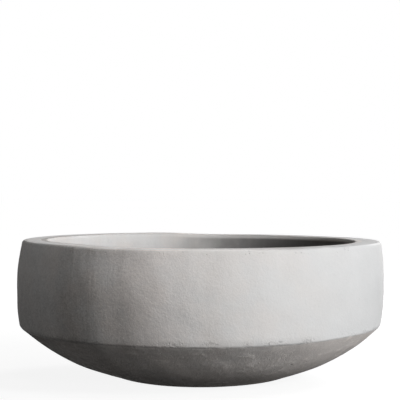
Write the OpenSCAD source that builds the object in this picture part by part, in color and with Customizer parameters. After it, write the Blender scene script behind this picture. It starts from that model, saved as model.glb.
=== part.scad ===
// Round bowl planter of cast concrete: a bulging upright wall with a thick flat rim, a crisp
// shoulder, and a shallow domed underside that runs down to a small flat foot. A steel cage is
// cast inside it, and a sleeved drain with a rubber plug goes through the floor.
// +Z is up, Z is the axis of the bowl, and z = 0 is the face of the foot.

/* [Bowl] */
// Diameter at the widest part of the wall
bowl_d = 914; // [820:1:1100]
// Height from the foot to the rim
bowl_h = 344; // [280:1:460]
// Height at which the wall is widest
belly_h = 232; // [180:1:280]
// Height of the shoulder, where the wall meets the underside
shoulder_h = 132; // [100:1:170]
// Radius of the wall's bulge
bulge_r = 590; // [400:10:900]
// Radius of the underside's curve
under_r = 570; // [540:10:900]
// Diameter of the foot
foot_d = 374; // [300:1:460]
// Width of the rim, from the outer face to the mouth
rim_w = 66; // [54:1:90]
// Rounding of the rim's two edges
rim_edge_r = 8; // [3:0.5:14]
// Rounding of the shoulder
shoulder_edge_r = 12; // [5:1:30]

/* [Inside] */
// Thickness of the floor, from the foot's face
floor_t = 62; // [50:1:80]
// Radius of the bend from the inside wall to the floor, where the bowl is high enough for it
inside_r = 200; // [160:5:240]
// Least height of the inside wall above the bend
upright_min = 60; // [50:5:90]
// Lean of the inside wall, in degrees
inside_lean = 2; // [0.5:0.5:4]

/* [Foot recess] */
// Diameter of the recess inside the foot
recess_d = 250; // [160:1:280]
// Depth of the recess
recess_h = 6; // [2:0.5:12]

/* [Drain] */
// Bore of the drain sleeve
drain_d = 44; // [32:1:54]
// Wall of the drain sleeve
sleeve_wall = 3; // [2:0.25:4]
// Chamfer at both ends of the sleeve's bore
sleeve_chamfer = 1; // [0.5:0.25:1.5]
// Play between the plug's ribs and the sleeve, on the radius
plug_play = 0.3; // [0.2:0.05:0.5]
// Length of the plug's shank in the sleeve
plug_shank = 36; // [24:1:44]
// Height of the plug's sealing ribs above its shank
plug_rib = 2; // [1:0.25:3]
// Number of sealing ribs
plug_rib_count = 3; // [2:1:4]
// How far the plug's flange reaches past the bore
plug_lip = 9; // [6:1:14]
// Thickness of the plug's flange
plug_flange_t = 5; // [4:0.5:8]
// Width of the plug's grip
grip_w = 30; // [20:1:40]
// Height of the plug's grip above its flange
grip_h = 22; // [14:1:30]
// Thickness of the plug's grip
grip_t = 9; // [6:0.5:14]

/* [Cage] */
// Diameter of the radial bars
bar_d = 8; // [6:1:10]
// Number of radial bars
bar_count = 8; // [6:1:12]
// Depth of the bars' centre lines behind the inside face
bar_inset = 30; // [24:1:36]
// Distance of the bars' lower ends from the axis
bar_start = 120; // [90:1:140]
// Depth of the bars' upper ends below the rim
bar_top_cover = 24; // [16:1:40]
// Diameter of the hoops
hoop_d = 8; // [6:1:10]
// Space left between a bar and a hoop, or a tie wire and either
cage_gap = 0.8; // [0.5:0.1:1.5]
// Radius of the foot hoop, which stays on the bars' level legs
foot_hoop_r = 152; // [140:1:168]
// Place of the shoulder hoop round the bend, in degrees up from the floor
shoulder_hoop_at = 60; // [45:1:70]
// Place of the belly hoop round the bend, in degrees up from the floor
belly_hoop_at = 82; // [76:1:90]
// Depth of the rim hoop below the bars' upper ends
rim_hoop_down = 14; // [10:1:24]
// Diameter of the tie wires
tie_d = 1.6; // [1.2:0.1:2]

/* [Hidden] */
$fn = 180;
wire_fn = 48;
tie_fn = 24;
past = 10; // how far a cutting shape runs past what it cuts

// The unit vector from one point to another
function unit(from, to) = (to - from) / norm(to - from);
// Centre of the arc of radius r that runs from a up to b and swells away from the axis
function arc_centre(a, b, r) =
    let (half = norm(b - a) / 2, along = unit(a, b))
    (a + b) / 2 + sqrt(r * r - half * half) * [-along[1], along[0]];
// The crossing of two circles that lies further from the axis
function crossing(c1, r1, c2, r2) =
    let (apart = norm(c2 - c1), along = unit(c1, c2))
    let (d = (apart * apart + r1 * r1 - r2 * r2) / (2 * apart), rise = sqrt(r1 * r1 - d * d))
    let (p = c1 + d * along + rise * [along[1], -along[0]])
    let (q = c1 + d * along - rise * [along[1], -along[0]])
    p[0] > q[0] ? p : q;

// Outer profile: the wall's arc, the underside's arc and where they meet
bowl_r = bowl_d / 2;
foot_r = foot_d / 2;
wall_c = [bowl_r - bulge_r, belly_h];
function wall_at(z, in = 0) = wall_c[0] + sqrt(pow(bulge_r - in, 2) - pow(z - belly_h, 2));
shoulder = [wall_at(shoulder_h), shoulder_h];
under_c = arc_centre([foot_r, 0], shoulder, under_r);
rim_edge_c = [wall_at(bowl_h - rim_edge_r, rim_edge_r), bowl_h - rim_edge_r];
shoulder_edge_c = crossing(wall_c, bulge_r - shoulder_edge_r, under_c, under_r - shoulder_edge_r);

// Inside profile: a leaning wall, a bend and a level floor
mouth_r = wall_at(bowl_h) - rim_w;
bend_r = min(inside_r, bowl_h - floor_t - upright_min);
bend_h = floor_t + bend_r;
bend_c = [mouth_r - (bowl_h - bend_h) * tan(inside_lean) - bend_r / cos(inside_lean), bend_h];
up_wall = [sin(inside_lean), cos(inside_lean)];
off_wall = [cos(inside_lean), -sin(inside_lean)];
bend_end = bend_c + bend_r * off_wall;
// The mouth's rounding has its centre rim_edge_r behind the wall and below the rim
mouth_edge_c = bend_c + (bend_r + rim_edge_r) * off_wall
    + up_wall * (bowl_h - rim_edge_r - bend_h + (bend_r + rim_edge_r) * sin(inside_lean))
    / cos(inside_lean);

// Drain
sleeve_r = drain_d / 2 + sleeve_wall;
rib_r = drain_d / 2 - plug_play;
shank_r = rib_r - plug_rib;
flange_r = drain_d / 2 + plug_lip;

// Cage: the bars bend round the inside's own centre, and the hoops lie outside the bars
cage_bend_r = bend_r + bar_inset;
foot_leg = bend_c[0] - bar_start;
wall_leg = bowl_h - bar_top_cover - bend_h;
hoop_off = (bar_d + hoop_d) / 2 + cage_gap;
tie_r = (bar_d + hoop_d + cage_gap + tie_d) / 2 + cage_gap;
// Where the hoops cross the bars, from the bend's centre: the bar's point and the way outward
function round_bend(deg) = let (way = [sin(deg), -cos(deg)]) [cage_bend_r * way, way];
at_foot = [[min(foot_hoop_r - bend_c[0], 0), -cage_bend_r], [0, -1]];
at_shoulder = round_bend(shoulder_hoop_at);
at_belly = round_bend(belly_hoop_at);
at_rim = [[cage_bend_r, wall_leg - rim_hoop_down], [1, 0]];

// What a rounded edge takes off a profile, between the points where the arc starts and ends
module edge_waste(centre, r, from, to) {
    out = centre + 2 * r * unit(2 * centre, from + to);
    difference() {
        polygon([centre, from, out, to]);
        translate(centre) circle(r);
    }
}

module outer_profile() {
    difference() {
        intersection() {
            square([bowl_r, bowl_h]);
            translate(wall_c) circle(bulge_r);
            union() {
                translate(under_c) circle(under_r);
                // The underside's circle rises again towards the axis, where the foot stays flat
                square([under_c[0], bowl_h]);
            }
        }
        edge_waste(shoulder_edge_c, shoulder_edge_r,
            under_c + under_r * unit(under_c, shoulder_edge_c),
            wall_c + bulge_r * unit(wall_c, shoulder_edge_c));
        edge_waste(rim_edge_c, rim_edge_r,
            wall_c + bulge_r * unit(wall_c, rim_edge_c),
            [rim_edge_c[0], bowl_h]);
    }
}

module inside_profile() {
    top = bend_end + up_wall * (bowl_h - bend_end[1] + past) / cos(inside_lean);
    polygon([[0, floor_t], [bend_c[0], floor_t], bend_end, top, [0, top[1]]]);
    intersection() {
        translate(bend_c) circle(bend_r);
        translate([bend_c[0], floor_t - past]) square([bend_r + past, bend_r + past]);
    }
    edge_waste(mouth_edge_c, rim_edge_r,
        mouth_edge_c - rim_edge_r * off_wall,
        [mouth_edge_c[0], bowl_h]);
}

// The casting is drawn whole: the steel lies in it where the concrete has set round it
module bowl_casting() {
    color("#b4b1ac")
    rotate_extrude()
    difference() {
        outer_profile();
        inside_profile();
        translate([0, -past]) square([recess_d / 2, recess_h + past]);
        square([sleeve_r, floor_t + past]);
    }
}

module drain_sleeve() {
    color("#5b5e61")
    rotate_extrude()
    difference() {
        translate([0, recess_h]) square([sleeve_r, floor_t - recess_h]);
        square([drain_d / 2, floor_t + past]);
        for (end = [recess_h, floor_t])
            translate([drain_d / 2, end]) rotate(45) square(sleeve_chamfer * sqrt(2), center = true);
    }
}

// The plug hangs in the sleeve by its flange, which rests on the floor
module drain_plug() {
    rib_gap = (plug_shank - plug_rib) / plug_rib_count;
    color("#232323") {
        rotate_extrude() {
            translate([0, floor_t]) square([flange_r - plug_flange_t / 2, plug_flange_t]);
            intersection() {
                translate([flange_r - plug_flange_t / 2, floor_t + plug_flange_t / 2])
                    circle(plug_flange_t / 2);
                translate([0, floor_t]) square([flange_r, plug_flange_t]);
            }
            translate([0, floor_t - plug_shank]) square([shank_r, plug_shank]);
            for (i = [0 : plug_rib_count - 1])
                translate([shank_r, floor_t - plug_shank + plug_rib + i * rib_gap]) circle(plug_rib);
        }
        translate([0, grip_t / 2, floor_t + plug_flange_t / 2])
        rotate([90, 0, 0])
        linear_extrude(grip_t)
        grip_outline();
    }
}

module grip_outline() {
    corner_r = grip_w / 4;
    rise = grip_h + plug_flange_t / 2;
    translate([-grip_w / 2, 0]) square([grip_w, rise - corner_r]);
    translate([-grip_w / 2 + corner_r, 0]) square([grip_w - 2 * corner_r, rise]);
    for (side = [-1, 1])
        translate([side * (grip_w / 2 - corner_r), rise - corner_r]) circle(corner_r);
}

// A closed hoop outside the bars, which it crosses at the place given
module hoop(at) {
    centre = bend_c + at[0] + hoop_off * at[1];
    color("#6b5a50")
    rotate_extrude()
    translate(centre)
    circle(d = hoop_d, $fn = wire_fn);
}

module foot_hoop() hoop(at_foot);
module shoulder_hoop() hoop(at_shoulder);
module belly_hoop() hoop(at_belly);
module rim_hoop() hoop(at_rim);

// Puts what is drawn round the bend's centre, in the XZ plane, on the line of bar i
module on_bar(i) {
    rotate([0, 0, (i - 0.5) * 360 / bar_count])
    translate([bend_c[0], 0, bend_h])
    children();
}

// One bar: level in the floor, bent a quarter turn through the shoulder, upright in the wall
module radial_bar(i) {
    color("#77655a")
    on_bar(i) {
        translate([-foot_leg, 0, -cage_bend_r])
        rotate([0, 90, 0])
        cylinder(d = bar_d, h = foot_leg, $fn = wire_fn);
        rotate([90, 0, 0])
        rotate([0, 0, -90])
        rotate_extrude(angle = 90)
        translate([cage_bend_r, 0])
        circle(d = bar_d, $fn = wire_fn);
        translate([cage_bend_r, 0, 0])
        cylinder(d = bar_d, h = wall_leg, $fn = wire_fn);
    }
}

// A loop of wire round each crossing, on the slant between bar and hoop
module tie_wires() {
    color("#4f4b48")
    for (i = [1 : bar_count], at = [at_foot, at_shoulder, at_belly, at_rim]) {
        mid = at[0] + hoop_off / 2 * at[1];
        on_bar(i)
        translate([mid[0], 0, mid[1]])
        rotate([0, -atan2(at[1][1], at[1][0]), 0])
        rotate([45, 0, 0])
        rotate_extrude($fn = wire_fn)
        translate([tie_r, 0])
        circle(d = tie_d, $fn = tie_fn);
    }
}

bowl_casting();
drain_sleeve();
drain_plug();
foot_hoop();
shoulder_hoop();
belly_hoop();
rim_hoop();
for (i = [1 : bar_count])
    radial_bar(i);
tie_wires();
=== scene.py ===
import math
import bpy
import bmesh
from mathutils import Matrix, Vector


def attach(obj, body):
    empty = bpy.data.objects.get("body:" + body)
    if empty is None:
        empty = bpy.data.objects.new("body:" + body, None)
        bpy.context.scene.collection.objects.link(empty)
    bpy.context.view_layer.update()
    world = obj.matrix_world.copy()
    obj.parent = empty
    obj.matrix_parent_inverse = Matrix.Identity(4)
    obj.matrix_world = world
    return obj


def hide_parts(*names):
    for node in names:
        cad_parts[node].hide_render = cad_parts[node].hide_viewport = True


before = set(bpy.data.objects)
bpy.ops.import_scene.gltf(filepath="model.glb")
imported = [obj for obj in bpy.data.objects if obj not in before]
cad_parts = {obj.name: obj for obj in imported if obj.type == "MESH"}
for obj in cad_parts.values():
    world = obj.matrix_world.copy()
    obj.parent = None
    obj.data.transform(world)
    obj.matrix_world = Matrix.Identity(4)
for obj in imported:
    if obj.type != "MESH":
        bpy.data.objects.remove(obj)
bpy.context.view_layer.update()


# ---- Concrete bowl -------------------------------------------------------------------------
# One casting of grey cement mortar, packed by hand against a turned mould. Its rim was struck off
# level and its underside smoothed with a trowel, whose strokes show. The skin is sandy, and the
# edges of rim and shoulder are crumbly.
bowl_r, bowl_h = 0.457, 0.344
belly_h, shoulder_h, foot_r = 0.232, 0.132, 0.187
bulge_r, under_r = 0.590, 0.535  # the arcs of the wall and of the underside
rim_w, rim_edge_r = 0.066, 0.008
shoulder_round, shoulder_crisp = 0.020, 0.008  # the shoulder's rounding at the sides and in front
floor_t, inside_r, inside_lean = 0.062, 0.200, math.radians(2)
recess_r, recess_h, drain_hole_r = 0.125, 0.006, 0.025
foot_edge_r = 0.003
around = 384  # faces in one turn


def across(a, b):
    """Unit vector from a to b in the plane of the profile, where x is the radius and y the height."""
    return (b - a).normalized()


def arc_centre(a, b, r):
    """Centre of the arc of radius r from a to b that bulges outwards and down."""
    half, along = (b - a).length / 2, across(a, b)
    return (a + b) / 2 + math.sqrt(r * r - half * half) * Vector((-along.y, along.x))


def crossing(c1, r1, c2, r2):
    """Where two circles cross, on the side away from the bowl's axis."""
    apart, along = (c2 - c1).length, across(c1, c2)
    d = (apart ** 2 + r1 ** 2 - r2 ** 2) / (2 * apart)
    rise = math.sqrt(r1 ** 2 - d ** 2) * Vector((along.y, -along.x))
    return max(c1 + d * along + rise, c1 + d * along - rise, key=lambda p: p.x)


wall_c = Vector((bowl_r - bulge_r, belly_h))
shoulder = Vector((wall_c.x + math.sqrt(bulge_r ** 2 - (shoulder_h - belly_h) ** 2), shoulder_h))
under_c = arc_centre(Vector((foot_r, 0)), shoulder, under_r)
shoulder_c = crossing(wall_c, bulge_r - shoulder_round, under_c, under_r - shoulder_round)
rim_c = Vector((wall_c.x + math.sqrt((bulge_r - rim_edge_r) ** 2
                                     - (bowl_h - rim_edge_r - belly_h) ** 2), bowl_h - rim_edge_r))
mouth_r = wall_c.x + math.sqrt(bulge_r ** 2 - (bowl_h - belly_h) ** 2) - rim_w
bend_h = floor_t + inside_r
bend_in = (bowl_h - bend_h) * math.tan(inside_lean) + inside_r / math.cos(inside_lean)
bend_c = Vector((mouth_r - bend_in, bend_h))
off_wall = Vector((math.cos(inside_lean), -math.sin(inside_lean)))
up_wall = Vector((math.sin(inside_lean), math.cos(inside_lean)))
mouth_rise = bowl_h - rim_edge_r - bend_c.y + (inside_r + rim_edge_r) * math.sin(inside_lean)
mouth_c = bend_c + (inside_r + rim_edge_r) * off_wall + up_wall * mouth_rise / math.cos(inside_lean)


def start_profile(name, point):
    """A new mesh of one vertex at a point of the profile, left in edit mode."""
    bpy.ops.object.select_all(action="DESELECT")
    bpy.ops.mesh.primitive_plane_add(size=0.01, location=(point.x, 0, point.y))
    piece = bpy.context.object
    piece.name = piece.data.name = name
    bpy.ops.object.transform_apply(location=True, rotation=True, scale=True)
    bpy.ops.object.mode_set(mode="EDIT")
    bpy.ops.mesh.select_all(action="SELECT")
    bpy.ops.mesh.merge(type="CENTER")
    return piece


def end_of_profile(piece):
    """The profile's selected vertex, in the plane of the profile."""
    mesh = bmesh.from_edit_mesh(piece.data)
    tip = next(v for v in mesh.verts if v.select)
    return Vector((tip.co.x, tip.co.z))


def run_to(piece, point, steps):
    """Extrudes the profile's end straight to a point, in equal steps."""
    here = end_of_profile(piece)
    step = (point - here) / steps
    for _ in range(steps):
        bpy.ops.mesh.extrude_region_move(TRANSFORM_OT_translate={"value": (step.x, 0, step.y)})


def sweep_to(piece, centre, point, steps):
    """Spins the profile's end round a centre to a point, the short way."""
    here = end_of_profile(piece)
    a, b = here - centre, point - centre
    turn = math.atan2(a.x * b.y - a.y * b.x, a.dot(b))
    bpy.ops.mesh.spin(steps=steps, angle=turn, center=(centre.x, 0, centre.y), axis=(0, 1, 0))


def close_and_turn(piece, steps):
    """Joins the profile's ends into a ring and turns it once round the bowl's axis."""
    bpy.ops.mesh.select_all(action="SELECT")
    bpy.ops.mesh.remove_doubles(threshold=1e-5)
    bpy.ops.mesh.spin(steps=steps, angle=2 * math.pi, center=(0, 0, 0), axis=(0, 0, 1))
    bpy.ops.mesh.select_all(action="SELECT")
    bpy.ops.mesh.remove_doubles(threshold=1e-6)
    bpy.ops.mesh.normals_make_consistent(inside=False)
    bpy.ops.object.mode_set(mode="OBJECT")


bowl = start_profile("planter_bowl", Vector((drain_hole_r, recess_h)))
run_to(bowl, Vector((recess_r, recess_h)), 12)
run_to(bowl, Vector((recess_r, foot_edge_r)), 1)
sweep_to(bowl, Vector((recess_r + foot_edge_r, foot_edge_r)), Vector((recess_r + foot_edge_r, 0)), 4)
run_to(bowl, Vector((foot_r, 0)), 7)
sweep_to(bowl, under_c, under_c + under_r * across(under_c, shoulder_c), 62)
sweep_to(bowl, shoulder_c, wall_c + bulge_r * across(wall_c, shoulder_c), 24)
sweep_to(bowl, wall_c, wall_c + bulge_r * across(wall_c, rim_c), 48)
sweep_to(bowl, rim_c, Vector((rim_c.x, bowl_h)), 7)
run_to(bowl, Vector((mouth_c.x, bowl_h)), 14)
sweep_to(bowl, mouth_c, mouth_c - rim_edge_r * off_wall, 7)
run_to(bowl, bend_c + inside_r * off_wall, 12)
sweep_to(bowl, bend_c, Vector((bend_c.x, floor_t)), 36)
run_to(bowl, Vector((drain_hole_r, floor_t)), 14)
run_to(bowl, Vector((drain_hole_r, recess_h)), 4)
close_and_turn(bowl, around)


def share(v, low, high):
    """0 below low, 1 above high, and soft between."""
    t = min(max((v - low) / (high - low), 0), 1)
    return t * t * (3 - 2 * t)


# The shoulder's edge is rubbed round at the two sides and left crisp in front and behind
low_end = under_c + under_r * across(under_c, shoulder_c)
high_end = wall_c + bulge_r * across(wall_c, shoulder_c)
half_turn = across(shoulder_c, low_end).angle(across(shoulder_c, high_end)) / 2
to_corner = across(shoulder_c, low_end + high_end - shoulder_c)
corner = shoulder_c + to_corner * shoulder_round / math.cos(half_turn)
crisp_c = corner + (shoulder_c - corner) * shoulder_crisp / shoulder_round
crisp_until, round_from = 0.78, 0.97  # shares of the way from the front round to the side
touching = 2e-5  # what lies closer than this is in the same place
for v in bowl.data.vertices:
    r = math.hypot(v.co.x, v.co.y)
    here = Vector((r, v.co.z))
    off_arc = abs((here - shoulder_c).length - shoulder_round)
    if off_arc < touching and here.x > low_end.x - touching:
        turned = across(shoulder_c, low_end).angle(across(shoulder_c, here)) / half_turn - 1
        end = high_end if turned > 0 else low_end
        reach = abs(turned) * shoulder_round / shoulder_crisp
        if reach > 1:
            crisp = corner.lerp(end, abs(turned))
        else:
            tangent = corner.lerp(end, shoulder_crisp / shoulder_round)
            middle = across(crisp_c, corner)
            crisp = crisp_c + shoulder_crisp * middle.slerp(across(crisp_c, tangent), reach)
        moved = here.lerp(crisp, 1 - share(abs(v.co.x) / r, crisp_until, round_from))
        v.co = (v.co.x * moved.x / r, v.co.y * moved.x / r, moved.y)


def facing(turn, degrees, low, high):
    """1 for what lies that way round the bowl, falling to 0 beside it."""
    return share(math.cos(turn - math.radians(degrees)), low, high)


# What the hand left uneven: the rim drops away from its high left side, most of all at the back
# right, and sits a little to the right; the wall swells low on the left; the shoulder rises on the
# right and dips in front; the foot spreads to the right, and the underside beside it is hollow
rim_drop, rim_drop_back, rim_shift = 0.004, 0.0013, 0.003
wall_swell, shoulder_rise, shoulder_dip = 0.002, 0.0026, 0.0034
foot_spread, hollow, hollow_r = 0.006, 0.0024, 0.25
wall_from, foot_from, foot_top = 0.39, 0.15, 0.06
# Where each lies, in degrees round the bowl: 0 is on the right, 90 behind and 270 in front
rim_high_at, rim_low_at, wall_swell_at, shoulder_rise_at, shoulder_dip_at = 165, 60, 180, 345, 262
inner_reach = 0.025  # how far behind the inside face a vertex still counts as inner skin
# The finish keeps to the heights that the mould gave, and knows the outer skin from the inner
turned_h = bowl.data.attributes.new("turned_h", "FLOAT", "POINT")
outer_skin = bowl.data.attributes.new("outer_skin", "FLOAT", "POINT")
for v in bowl.data.vertices:
    x, y, z = v.co
    r, turn = math.hypot(x, y), math.atan2(y, x)
    turned_h.data[v.index].value = z
    inner_r = bend_c.x + math.sqrt(max(inside_r ** 2 - min(z - bend_h, 0) ** 2, 0)) + inner_reach
    outer_skin.data[v.index].value = 0 if z > floor_t - touching and r < inner_r else 1
    drop = (rim_drop * (1 - facing(turn, rim_high_at, 0.20, 0.55))
            + rim_drop_back * facing(turn, rim_low_at, 0.75, 0.95))
    v.co.z -= drop * share(z, 0.24, bowl_h)
    if r > wall_from:
        rise = facing(turn, shoulder_rise_at, 0.75, 0.97)
        dip = facing(turn, shoulder_dip_at, 0.55, 0.98)
        by_shoulder = 1 - share(abs(z - shoulder_h), 0.004, 0.045)
        low_wall = share(z, 0.118, 0.135) * (1 - share(z, 0.165, 0.215))
        v.co.z += (shoulder_rise * rise - shoulder_dip * dip) * by_shoulder
        v.co.x -= wall_swell * facing(turn, wall_swell_at, 0.3, 0.9) * low_wall
    if r > foot_from and z < foot_top:
        v.co.x += foot_spread * share(x, 0.05, 0.18) * (1 - share(z, 0.0, 0.05))
        v.co.z += hollow * (1 - share(abs(r - hollow_r), 0.01, 0.075)) * share(z, 0.0, 0.01)
    v.co.x += rim_shift * share(z, 0.26, bowl_h)
bpy.ops.object.shade_smooth_by_angle(angle=math.radians(40))


class Wire:
    """A socket in a finish, on which sums can be written."""

    def __init__(self, tree, socket):
        self.tree, self.socket = tree, socket

    def sum(self, how, *terms):
        return add_node(self.tree, "ShaderNodeMath", {"operation": how},
                        **{"i%d" % at: term for at, term in enumerate(terms)})

    def __add__(self, other):
        return self.sum("ADD", self, other)

    def __sub__(self, other):
        return self.sum("SUBTRACT", self, other)

    def __mul__(self, other):
        return self.sum("MULTIPLY", self, other)

    def __truediv__(self, other):
        return self.sum("DIVIDE", self, other)

    def __rsub__(self, other):
        return self.sum("SUBTRACT", other, self)

    def __abs__(self):
        return self.sum("ABSOLUTE", self)

    __radd__, __rmul__ = __add__, __mul__

    def rise(self, low, high):
        """0 up to low, 1 from high on, and soft between."""
        return add_node(self.tree, "ShaderNodeMapRange", {"interpolation_type": "SMOOTHSTEP"},
                        Value=self, From_Min=low, From_Max=high)

    def fall(self, low, high):
        """1 up to low, 0 from high on, and soft between."""
        return 1 - self.rise(low, high)

    def near(self, middle, inner, outer):
        """1 within inner of a middle value, 0 from outer on."""
        return abs(self - middle).fall(inner, outer)

    def swing(self, size, middle=0.5):
        """A noise's swing to both sides of its middle, brought to a size."""
        return (self - middle) * size

    def sqrt(self):
        return self.sum("SQRT", self)

    def most(self, other):
        return self.sum("MAXIMUM", self, other)

    def least(self, other):
        return self.sum("MINIMUM", self, other)


def put(tree, socket, value):
    """Links a wire to a socket, or sets the socket's value."""
    if isinstance(value, Wire):
        tree.links.new(value.socket, socket)
    else:
        socket.default_value = value


def add_node(tree, kind, settings=None, out=0, **inputs):
    """Adds a node and gives back one output. An input goes by its name, or by i and its number."""
    node = tree.nodes.new(kind)
    for name, value in (settings or {}).items():
        setattr(node, name, value)
    for name, value in inputs.items():
        if name[0] == "i" and name[1:].isdigit():
            socket = node.inputs[int(name[1:])]
        else:
            socket = next(s for s in node.inputs if s.name == name.replace("_", " ") and s.enabled)
        put(tree, socket, value)
    return Wire(tree, node.outputs[out])


class Finish:
    """A material with its shader, and the marks that its colour and relief are made of."""

    def __init__(self, name, **fixed):
        self.material = bpy.data.materials.new(name)
        self.material.use_nodes = True
        self.tree = self.material.node_tree
        self.shader = self.tree.nodes["Principled BSDF"]
        self.set(**fixed)
        self.place = self.node("ShaderNodeTexCoord", out="Object")
        parts = self.tree.nodes.new("ShaderNodeSeparateXYZ")
        put(self.tree, parts.inputs[0], self.place)
        self.x, self.y, self.z = (Wire(self.tree, part) for part in parts.outputs)

    def node(self, kind, settings=None, out=0, **inputs):
        return add_node(self.tree, kind, settings, out, **inputs)

    def point(self, x, y, z):
        return self.node("ShaderNodeCombineXYZ", X=x, Y=y, Z=z)

    def noise(self, scale, detail, rough, at=None, bend=0.0):
        return self.node("ShaderNodeTexNoise", Vector=at or self.place, Scale=scale, Detail=detail,
                         Roughness=rough, Distortion=bend)

    def cells(self, scale, feature="F1"):
        return self.node("ShaderNodeTexVoronoi", {"feature": feature}, Vector=self.place, Scale=scale)

    def mix(self, amount, first, second):
        return self.node("ShaderNodeMix", {"data_type": "RGBA"}, out=2,
                         Factor=amount, i6=first, i7=second)

    def shade(self, color, by):
        """A colour made lighter or darker by a number round 1."""
        return self.node("ShaderNodeVectorMath", {"operation": "SCALE"}, i0=color, Scale=by)

    def relief(self, height_mm):
        """A bump whose height is in millimetres."""
        return self.node("ShaderNodeBump", Height=height_mm, Distance=0.001, Strength=1.0)

    def set(self, **values):
        for socket, value in values.items():
            put(self.tree, self.shader.inputs[socket.replace("_", " ")], value)


concrete = Finish("cast_concrete", Specular_IOR_Level=0.04)
height = concrete.node("ShaderNodeAttribute", {"attribute_name": "turned_h"}, out="Fac")
outer = concrete.node("ShaderNodeAttribute", {"attribute_name": "outer_skin"}, out="Fac")
depth = bowl_h - height
radius = (concrete.x * concrete.x + concrete.y * concrete.y).sqrt()
# round_x runs from -1 on the left to 1 on the right; a pattern on it and round_y has no seam
round_x, round_y = concrete.x / radius, concrete.y / radius


def streaks(turns, climb, narrow, detail=3, rough=0.6, bend=0.0):
    """Noise drawn out round the bowl, as a trowel or the mould's turning leaves it."""
    place = concrete.point(round_x * turns, round_y * turns, climb * narrow)
    return concrete.noise(1.0, detail, rough, place, bend)


# The mortar's own unevenness, from coarse to fine
clouds = concrete.noise(4.5, 3, 0.55)
waves = concrete.noise(8, 1, 0.5)
blotches = concrete.noise(17, 4, 0.6)
mottle = concrete.noise(52, 4, 0.72)
crumbs = concrete.noise(150, 4, 0.7)
sand = concrete.noise(210, 3, 0.65)
grain = concrete.noise(520, 2, 0.6)

# Where each skin lies: the top of the rim, the inside, and the outside with the wall above the
# shoulder's ragged edge and the underside below it
ragged = (concrete.noise(60, 3, 0.6) - 0.5) * 0.007 + (crumbs - 0.5) * 0.004
from_shoulder = height - shoulder_h + round_x.fall(-0.8, -0.45) * 0.005
above_shoulder = from_shoulder + ragged
outside = outer.rise(0.3, 0.7)
below = outer * (from_shoulder + ragged * 0.8).fall(-0.004, 0.001)
wall = outside * (1 - below)
top = depth.fall(0.0012, 0.0032)
inside = (1 - outside) * (1 - top)
upper_inside = inside * depth.fall(0.045, 0.12)
coarse_side = round_x.fall(-0.85, 0.45)
right_side = round_x.rise(0.15, 0.8)
smooth_under = 0.86 - right_side * 0.34 - coarse_side * 0.4

# Marks: crumbled edges, air holes, lime specks, trowel smears, runs and the strokes round the rim
patchy = concrete.noise(23, 3, 0.6).rise(0.42, 0.60)
crumbly = above_shoulder.near(0.004, 0.001, 0.010) * patchy
undercut = (above_shoulder.near(-0.003, 0.0005, 0.003) * round_x.rise(-0.62, -0.4)
            * round_x.fall(0.25, 0.6) * concrete.noise(15, 2, 0.5).rise(0.36, 0.5))
under_rim = depth.fall(0.004, 0.020) * (1 - top) * outside
pick = concrete.noise(21, 2, 0.5)
picked = pick.rise(0.70, 0.78) + under_rim * pick.rise(0.45, 0.55) + below * pick.rise(0.56, 0.64)
pits = concrete.cells(120).fall(0.08, 0.24) * picked.least(1.0)
air_hole_at = (0.2061, -0.3058, 0.0713)
from_air_hole = concrete.node("ShaderNodeVectorMath", {"operation": "DISTANCE"}, out="Value",
                              i0=concrete.place, i1=air_hole_at)
air_hole = from_air_hole.fall(0.0014, 0.0038)
specks = concrete.cells(64).fall(0.03, 0.07) * pick.rise(0.44, 0.5)
strokes = streaks(10, radius + height, 25, detail=4, bend=0.4)
smears = 0.5 + radius.rise(0.10, 0.20) * (strokes - 0.5)
patches = smears.rise(0.53, 0.66) * concrete.noise(7, 2, 0.5).rise(0.42, 0.58)
runs = streaks(26, height, 2.5, rough=0.55)
run_side = wall * round_x.rise(-0.76, -0.66) * round_x.fall(-0.55, -0.3)
struck = streaks(5, radius, 60, detail=4, rough=0.65)

# The grey sealer inside: its brushed edge shows on the left; on the right its grey is carried up to the
# rim as painted shade, where the inside lies in shadow
across_mouth = concrete.x / mouth_r
painted_shade_right = (across_mouth + blotches.swing(0.2)).rise(-0.42, 0.38)
brushed = depth + streaks(4, height, 30, detail=4).swing(0.05)
sealer_and_painted_shade = inside * depth.rise(0.005, 0.013) * brushed.rise(0.046, 0.058).most(painted_shade_right)

# How much lighter or darker than plain each skin is, as a share of the colour
skin_tone = (clouds.swing(0.10) + blotches.swing(0.08)
             + (sand.swing(0.07) + grain.swing(0.05)) * (1 - inside * 0.6)
             + (mottle.swing(0.38) + sand.swing(0.52) + grain.swing(0.25))
             * coarse_side * (1 - inside * 0.88) * (1 - below * 0.3))
# The pits and the air hole are darkened in colour: painted shade in their hollows
mark_tone = (specks * 0.14 - pits * 0.22 - air_hole * 0.65 + crumbly * crumbs.swing(0.9, 0.49)
             + run_side * runs.swing(0.10))
pale = round_x.rise(-0.5, -0.15) * round_x.fall(0.2, 0.75)
pale_stripe = round_x.near(-0.19, 0.04, 0.24)
dark_stripes = round_x.near(-0.32, 0.05, 0.15) * 0.12 + round_x.near(-0.61, 0.05, 0.14) * 0.16
right_end = round_x.rise(0.3, 0.85)
low_right = right_side * height.fall(0.12, 0.24)
# Painted light and shade on the left of the wall: darker low down, lighter high up, and lighter in the
# top band at its left end
painted_shade_low_left = height.fall(0.125, 0.30) * round_x.fall(-0.75, 0.0)
painted_light_high_left = height.rise(0.19, 0.33) * round_x.fall(-0.4, 0.2)
painted_light_left_top = depth.fall(0.0, 0.035) * round_x.fall(-0.75, -0.6)
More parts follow.
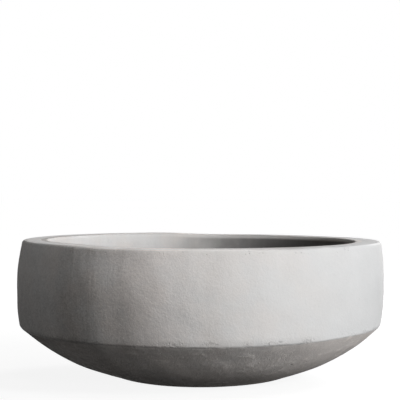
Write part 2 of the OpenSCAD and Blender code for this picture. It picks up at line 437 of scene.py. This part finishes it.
# Painted shade: the wall darkens in a band just above the shoulder's edge, except on the right
painted_shade_above_shoulder = above_shoulder.fall(-0.002, 0.017) * (1 - below) * round_x.fall(0.4, 0.75)
wall_tone = outside * (pale * 0.07 + pale_stripe * 0.07 - dark_stripes - right_end * 0.014
                       + low_right * 0.08 - painted_shade_low_left * 0.13 + painted_light_high_left * 0.24 + painted_light_left_top * 0.20
                       - painted_shade_above_shoulder * (0.17 + patchy * 0.13))
# Painted shade: the underside darkens towards the foot, where it meets the floor
painted_shade_by_foot = height.fall(0.0, 0.075)
# Painted shade: the left end of the underside is darker
painted_shade_left_end = round_x.fall(-0.97, -0.66)
# Painted shade: the underside is darker in a band just below the shoulder's edge, except on the right
painted_shade_under_shoulder = above_shoulder.near(-0.006, 0.002, 0.012) * round_x.fall(0.2, 0.5)
under_tone = below * (smooth_under * (mottle.swing(0.34) + sand.swing(0.30)) + smears.swing(0.22)
                      + patches * 0.21 + round_x.rise(0.35, 0.7) * 0.20 - painted_shade_by_foot * 0.34
                      - painted_shade_left_end * 0.62 + round_x.near(-0.5, 0.08, 0.3) * 0.12 - painted_shade_under_shoulder * 0.10 + 0.03)
# Painted light on the rim's top: lighter a little left of the middle and towards its left end
rim_tone = top * (struck.swing(0.40) + round_x.near(-0.2, 0.2, 0.7) * 0.42
                  + round_x.fall(-0.8, -0.2) * 0.18 + right_end * 0.12)
# Painted light and shade on the upper inside: lighter on its left, darker on its right, and darker at its
# far left end
inside_tone = (inside * streaks(15, height, 1.5).swing(0.16) * height.rise(0.12, 0.22)
               + upper_inside * ((1 - painted_shade_right) * 0.26 - across_mouth.fall(-0.98, -0.8) * 0.30
                                 - across_mouth.rise(0.1, 0.6) * depth.rise(0.005, 0.012) * 0.44))
tone = 1.0 + skin_tone + mark_tone + wall_tone + under_tone + rim_tone + inside_tone

# The colour of the paste: grey to buff all over, greyer at the two ends of the wall, more buff in
# a band on its left half, and browner on the underside, where the trowel drew the paste up
grey, buff = (0.624, 0.611, 0.600, 1), (0.648, 0.611, 0.585, 1)
grey_left, grey_right = (0.617, 0.611, 0.605, 1), (0.616, 0.611, 0.607, 1)
buff_band, trowelled = (0.658, 0.609, 0.585, 1), (0.650, 0.605, 0.574, 1)
sealer_and_shade_grey = (0.25, 0.242, 0.233, 1)
greyer = round_x.fall(-0.85, -0.6) * 0.55 + pale * round_x.rise(-0.12, 0.2) * 0.35
warmer = round_x.near(-0.26, 0.08, 0.32) * 0.38
paste = concrete.mix(concrete.noise(11, 3, 0.6).rise(0.34, 0.66), grey, buff)
paste = concrete.mix(greyer * wall, paste, grey_left)
paste = concrete.mix(warmer * wall, paste, buff_band)
paste = concrete.mix(right_side * wall * 0.9, paste, grey_right)
paste = concrete.mix(below * (0.55 + right_side * 0.45), paste, trowelled)
paste = concrete.mix(sealer_and_painted_shade * (0.85 + blotches.swing(0.5)), paste, sealer_and_shade_grey)

# Relief, from grains of sand to the waves that the packing left
relief_mm = (sand * (0.50 - inside * 0.34) + grain * (0.16 - inside * 0.10) + blotches * 1.6
             + waves * 5.0 + mottle * 0.4 - pits * 0.9 - air_hole * 2.0 - undercut * 0.4
             + crumbly * crumbs.swing(4.0) + under_rim * crumbs.swing(0.9) + run_side * runs.swing(1.0)
             + below * (smooth_under * crumbs.swing(0.9) + smears.swing(1.35) + patches * 0.3)
             + top * (struck.swing(1.0) + crumbs.swing(0.4)))
concrete.set(Base_Color=concrete.shade(paste, tone),
             Roughness=0.84 + blotches.swing(0.16) - sealer_and_painted_shade * 0.12,
             Normal=concrete.relief(relief_mm))
bowl.data.materials.append(concrete.material)
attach(bowl, "bowl")
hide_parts("bowl_casting")


# ---- Drain plug ----------------------------------------------------------------------------
# A loose stopper moulded in one piece of black rubber: three sealing ribs round a shank, a round
# flange that rests on the floor of the bowl, and a tab to pull it by. Lime from the wet concrete
# has left a pale bloom on it.
shank_r, shank, rib_r, ribs = 0.0197, 0.036, 0.002, 3
rib_gap = (shank - rib_r) / ribs
chamfer_w, chamfer_h = 0.0012, 0.00072
flange_r, flange_t, flange_edge_r = 0.031, 0.005, 0.0016
lip_w, dish_slope, dish_d = 0.004, 0.001, 0.0005  # the flange's raised lip, and the dish inside it
plug_foot = floor_t - shank
flange_top = floor_t + flange_t
edge_in = flange_r - flange_edge_r

plug = start_profile("rubber_plug", Vector((0, plug_foot)))
run_to(plug, Vector((shank_r - chamfer_w, plug_foot)), 3)
run_to(plug, Vector((shank_r, plug_foot + chamfer_h)), 1)
for rib in range(ribs):
    middle = Vector((shank_r, plug_foot + rib_r + rib * rib_gap))
    if rib > 0:
        run_to(plug, middle - Vector((0, rib_r)), 2)
    sweep_to(plug, middle, middle + Vector((rib_r, 0)), 6)
    sweep_to(plug, middle, middle + Vector((0, rib_r)), 6)
run_to(plug, Vector((shank_r, floor_t)), 2)
run_to(plug, Vector((edge_in, floor_t)), 4)
sweep_to(plug, Vector((edge_in, floor_t + flange_edge_r)), Vector((flange_r, floor_t + flange_edge_r)), 4)
run_to(plug, Vector((flange_r, flange_top - flange_edge_r)), 1)
sweep_to(plug, Vector((edge_in, flange_top - flange_edge_r)), Vector((edge_in, flange_top)), 4)
run_to(plug, Vector((flange_r - lip_w, flange_top)), 1)
run_to(plug, Vector((flange_r - lip_w - dish_slope, flange_top - dish_d)), 1)
run_to(plug, Vector((0, flange_top - dish_d)), 5)
close_and_turn(plug, 96)


def raise_section(before, after):
    """Extrudes the selected face up and scales it, from one section to the next.

    A section is its height, half its width and half its thickness.
    """
    bpy.ops.mesh.extrude_region_move(TRANSFORM_OT_translate={"value": (0, 0, after[0] - before[0])})
    bpy.ops.transform.resize(value=(after[1] / before[1], after[2] / before[2], 1),
                             center_override=(0, 0, after[0]))


# The pull tab: it narrows above a flared root, thickens a little and ends in round corners, whose
# edges round over in the last part of the turn
tab_w, tab_t, tab_h, tab_side_r = 0.015, 0.0045, 0.022, 0.0028
tab_sink, tab_root, root_narrows, head_swell = 0.002, 0.0022, 0.4, 0.0004
tab_corner, tab_edge, edge_from, edge_speed = 0.0075, 0.0016, 0.5, 1.4
quarter = [math.radians(90) * i / 6 for i in range(7)]
sections = [(flange_top - tab_sink, tab_w, tab_t)]
for a in quarter:
    narrower = tab_root * math.sin(a) * root_narrows
    raised = tab_root * (1 - math.cos(a))
    sections.append((flange_top - dish_d + raised, tab_w - narrower, tab_t - narrower))
waist_w, head_t = sections[-1][1], sections[-1][2] + head_swell
corner_foot = flange_top + tab_h - tab_corner
sections.append((corner_foot, waist_w, head_t))
for a in quarter[1:]:
    rounded = tab_edge * (1 - math.cos(max(a - edge_from, 0) * edge_speed))
    sections.append((corner_foot + tab_corner * math.sin(a), waist_w - tab_corner * (1 - math.cos(a)),
                     head_t - rounded))
bpy.ops.object.select_all(action="DESELECT")
bpy.ops.mesh.primitive_plane_add(size=1, location=(0, 0, sections[0][0]))
tab = bpy.context.object
tab.name = "rubber_tab"
tab.scale = (2 * tab_w, 2 * tab_t, 1)
bpy.ops.object.transform_apply(location=True, rotation=True, scale=True)
bpy.ops.object.mode_set(mode="EDIT")
bpy.ops.mesh.select_all(action="SELECT")
bpy.ops.mesh.bevel(offset=tab_side_r, segments=5, affect="VERTICES")
bpy.ops.mesh.select_all(action="SELECT")
for before, after in zip(sections, sections[1:]):
    raise_section(before, after)
bpy.ops.mesh.select_all(action="SELECT")
bpy.ops.mesh.normals_make_consistent(inside=False)
bpy.ops.object.mode_set(mode="OBJECT")
bpy.ops.object.select_all(action="DESELECT")
plug.select_set(True)
bpy.context.view_layer.objects.active = plug
moulded_on = plug.modifiers.new("tab", "BOOLEAN")
moulded_on.operation, moulded_on.object, moulded_on.solver = "UNION", tab, "EXACT"
bpy.ops.object.modifier_apply(modifier="tab")
bpy.data.objects.remove(tab)
bpy.ops.object.shade_smooth_by_angle(angle=math.radians(32))

rubber = Finish("moulded_rubber", Specular_IOR_Level=0.35)
black, lime = (0.022, 0.022, 0.023, 1), (0.17, 0.165, 0.155, 1)
skin = rubber.noise(900, 3, 0.6)
handled = rubber.noise(70, 3, 0.55)
bloom = rubber.noise(150, 5, 0.7).rise(0.45, 0.75) * rubber.noise(38, 2, 0.5).rise(0.4, 0.7)
parting = rubber.y.near(0.0, 0.0001, 0.0004) * rubber.z.rise(flange_top, flange_top + 0.001)
damp = rubber.z.fall(plug_foot, floor_t - 0.004)
rubber_color = rubber.mix(bloom * (0.55 - damp * 0.25), black, lime)
rubber.set(Base_Color=rubber.shade(rubber_color, 1.0 + handled.swing(0.6) + skin.swing(0.3)),
           Roughness=0.58 + bloom * 0.3 + handled.swing(0.25) - damp * 0.12,
           Normal=rubber.relief(skin * 0.05 + handled * 0.12 + parting * 0.22 + bloom * 0.03))
plug.data.materials.append(rubber.material)
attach(plug, "plug")
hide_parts("drain_plug")


# ---- Drain sleeve --------------------------------------------------------------------------
# A short length of grey drain pipe, sawn off and chamfered at both ends, that stood in the mould
# while the floor was cast round it. It shows fine drawing lines along its bore, saw marks on its
# ends and splashes of cement.
pipe = Finish("drain_pipe", Specular_IOR_Level=0.45)
pipe_dark, pipe_light, cement = (0.098, 0.104, 0.108, 1), (0.128, 0.134, 0.138, 1), (0.46, 0.45, 0.43, 1)
chamfer_from, chamfer_to = 0.0006, 0.0012  # from each end of the pipe
pipe_r = (pipe.x * pipe.x + pipe.y * pipe.y).sqrt()
drawn = pipe.noise(1.0, 3, 0.6, pipe.point(pipe.x / pipe_r * 70, pipe.y / pipe_r * 70, pipe.z * 12))
sawn = pipe.noise(1.0, 2, 0.7, pipe.point(pipe.x * 2600, pipe.y * 90, 0.0))
cut_end = (pipe.z.rise(floor_t - chamfer_to, floor_t - chamfer_from)
           + pipe.z.fall(recess_h + chamfer_from, recess_h + chamfer_to))
splash = (pipe.noise(160, 5, 0.7) + (pipe.z - floor_t) * 9).rise(0.42, 0.54)
pipe_color = pipe.mix(drawn.rise(0.3, 0.7), pipe_dark, pipe_light)
pipe_color = pipe.mix(splash * 0.8, pipe_color, cement)
pipe.set(Base_Color=pipe.shade(pipe_color, 1.0 + cut_end * sawn.swing(0.5, 0.4)),
         Roughness=0.38 + drawn * 0.12 + cut_end * 0.25 + splash * 0.35,
         Normal=pipe.relief(drawn * 0.05 + cut_end * sawn * 0.12 + splash * 0.25))


def dress(node, finish):
    """Gives a CAD node's faces a finish."""
    for face_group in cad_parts[node].material_slots:
        face_group.material = finish.material


dress("drain_sleeve", pipe)


# ---- Steel cage ----------------------------------------------------------------------------
# Plain round bar, hot rolled, bent cold and left as it came: blue-grey mill scale that has cracked
# off in places and rusted where the bar lay damp. Four closed hoops lie outside eight bent bars.
hoops = ["foot_hoop", "shoulder_hoop", "belly_hoop", "rim_hoop"]
bars = ["radial_bar_%d" % i for i in range(1, 9)]
steel = Finish("rolled_bar", Specular_IOR_Level=0.5)
scale_dark, scale_light = (0.085, 0.086, 0.092, 1), (0.135, 0.132, 0.130, 1)
rust_dark, rust_light = (0.125, 0.052, 0.026, 1), (0.27, 0.122, 0.055, 1)
scale = steel.noise(55, 5, 0.68)
rust = (scale + steel.noise(9, 2, 0.5).swing(0.7)).rise(0.47, 0.60)
powder = steel.noise(420, 3, 0.7)
cracks = steel.cells(240, "DISTANCE_TO_EDGE").fall(0.02, 0.10) * (1 - rust)
steel_color = steel.mix(rust, steel.mix(scale.rise(0.35, 0.65), scale_dark, scale_light),
                        steel.mix(powder.rise(0.35, 0.65), rust_dark, rust_light))
steel.set(Base_Color=steel.shade(steel_color, 1.0 - cracks * 0.35),
          Metallic=0.75 - rust * 0.75,
          Roughness=0.42 + rust * 0.46 + powder.swing(0.1),
          Normal=steel.relief(scale * 0.10 + rust * powder * 0.16 - cracks * 0.05))
for node in hoops + bars:
    dress(node, steel)


# ---- Tie wires -----------------------------------------------------------------------------
# Soft black annealed wire, twisted round each crossing of bar and hoop with pliers before the
# concrete is poured. It carries a thin dark oxide, worn bright on the highest places.
wire = Finish("annealed_wire", Specular_IOR_Level=0.5)
oxide_dark, oxide_light = (0.030, 0.031, 0.034, 1), (0.075, 0.072, 0.070, 1)
bright, rusty = (0.34, 0.33, 0.32, 1), (0.17, 0.075, 0.035, 1)
oxide = wire.noise(260, 4, 0.65)
worn = wire.noise(700, 2, 0.6).rise(0.58, 0.70)
spots = wire.noise(90, 3, 0.6).rise(0.58, 0.68)
wire_color = wire.mix(oxide.rise(0.3, 0.7), oxide_dark, oxide_light)
wire_color = wire.mix(worn * 0.5, wire_color, bright)
wire_color = wire.mix(spots * 0.8, wire_color, rusty)
wire.set(Base_Color=wire_color,
         Metallic=0.85 - spots * 0.7,
         Roughness=0.46 + oxide * 0.15 + spots * 0.3 - worn * 0.14,
         Normal=wire.relief(oxide * 0.04 + spots * 0.03))
dress("tie_wires", wire)


# ---- Studio ---------------------------------------------------------------------------------
# A pale floor that runs out to white. Four lamps stand at the front right, one high in front and
# two behind on the right, where the strongest is; two weak cards low on the left lift the shade.
bpy.ops.object.select_all(action="DESELECT")
bpy.ops.mesh.primitive_circle_add(vertices=64, radius=30, fill_type="NGON", location=(0, 0, 0))
floor = bpy.context.object
floor.name = "studio_floor"


def looked_at(tree):
    """1 where the camera, a mirror or clear glass looks at the studio, 0 where it only lights."""
    seen, mirrored, through = (add_node(tree, "ShaderNodeLightPath", out="Is %s Ray" % ray)
                               for ray in ("Camera", "Glossy", "Transmission"))
    return seen.most(mirrored).most(through)


def open_tree(owner, kind):
    """Clears the nodes of a material or world, and gives back its tree and the input of its output."""
    owner.use_nodes = True
    owner.node_tree.nodes.clear()
    return owner.node_tree, owner.node_tree.nodes.new(kind).inputs[0]


ground = bpy.data.materials.new("studio_ground")
floor.data.materials.append(ground)
tree, ground_out = open_tree(ground, "ShaderNodeOutputMaterial")
middle_glow, white_from, white_at = 0.89, 0.8, 2.2
spot = add_node(tree, "ShaderNodeTexCoord", out="Object")
away = add_node(tree, "ShaderNodeVectorMath", {"operation": "LENGTH"}, out="Value", i0=spot)
glow = add_node(tree, "ShaderNodeEmission", Color=(1, 1, 1, 1),
                Strength=middle_glow + away.rise(white_from, white_at) * (1 - middle_glow))
shadowed = add_node(tree, "ShaderNodeBsdfDiffuse", Color=(0.20, 0.20, 0.20, 1))
lit = add_node(tree, "ShaderNodeAddShader", i0=shadowed, i1=glow)
bounce = add_node(tree, "ShaderNodeBsdfDiffuse", Color=(0.012, 0.012, 0.012, 1))
from_above = add_node(tree, "ShaderNodeMixShader", i0=looked_at(tree), i1=bounce, i2=lit)
gone = add_node(tree, "ShaderNodeBsdfTransparent")
from_below = add_node(tree, "ShaderNodeNewGeometry", out="Backfacing")
put(tree, ground_out, add_node(tree, "ShaderNodeMixShader", i0=from_below, i1=from_above, i2=gone))

world = bpy.data.worlds.new("studio")
bpy.context.scene.world = world
tree, world_out = open_tree(world, "ShaderNodeOutputWorld")
dark = add_node(tree, "ShaderNodeBackground", Color=(1, 1, 1, 1), Strength=0.0)
white = add_node(tree, "ShaderNodeBackground", Color=(1, 1, 1, 1), Strength=1.0)
put(tree, world_out, add_node(tree, "ShaderNodeMixShader", i0=looked_at(tree), i1=dark, i2=white))

# Azimuth from the camera's side, plus to the right; angle of rise; how bright it alone makes white
# paper that faces it; width and height; distance; tint
lamps = [("key", 46, 22, 0.262, 0.35, 0.35, 3.2, (0.982, 1.0, 1.012)),
         ("key_low", 40, 6, 0.294, 0.35, 0.35, 3.2, (1.006, 1.0, 0.996)),
         ("key_side", 58, 12, 0.206, 0.35, 0.35, 3.2, (0.958, 1.0, 1.034)),
         ("key_high", 45, 45, 0.165, 0.8, 0.8, 3.2, (0.980, 1.0, 1.014)),
         ("front_high", 0, 45, 0.060, 0.8, 0.8, 3.2, (1.020, 1.0, 0.985)),
         ("right", 120, 20, 0.125, 0.8, 0.8, 3.2, (0.985, 1.0, 1.010)),
         ("back_right", 150, 20, 0.748, 0.8, 0.8, 3.2, (1.005, 1.0, 0.998)),
         ("card_front", -25, -1, 0.048, 1.0, 0.26, 2.4, (1.010, 1.0, 0.994)),
         ("card_left", -85, -1, 0.046, 1.0, 0.26, 2.4, (0.996, 1.0, 1.002))]
bowl_middle = Vector((0, 0, 0.17))
for name, azimuth, rise, brightness, wide, tall, reach, tint in lamps:
    lamp = bpy.data.lights.new(name, "AREA")
    lamp.shape, lamp.size, lamp.size_y = "RECTANGLE", wide, tall
    lamp.energy = brightness * math.pi ** 2 * reach ** 2
    lamp.color = tint
    holder = bpy.data.objects.new(name, lamp)
    bpy.context.scene.collection.objects.link(holder)
    a, e = math.radians(azimuth), math.radians(rise)
    toward = Vector((math.sin(a) * math.cos(e), -math.cos(a) * math.cos(e), math.sin(e)))
    holder.location = bowl_middle + toward * reach
    holder.rotation_euler = (-toward).to_track_quat("-Z", "Y").to_euler()

# The camera's place and lens were fitted to the bowl's outline in the photo
photo_px, focal_px, sensor_mm = 400, 1273, 36
camera_at, camera_dip = (-0.0012, -3.2, 0.486), 0.0138
camera = bpy.data.cameras.new("camera")
camera.sensor_width = sensor_mm
camera.lens = focal_px / photo_px * sensor_mm
stand = bpy.data.objects.new("camera", camera)
bpy.context.scene.collection.objects.link(stand)
stand.location = camera_at
stand.rotation_euler = (math.pi / 2 - camera_dip, 0, 0)
bpy.context.scene.camera = stand
bpy.context.scene.view_settings.view_transform = "Standard"
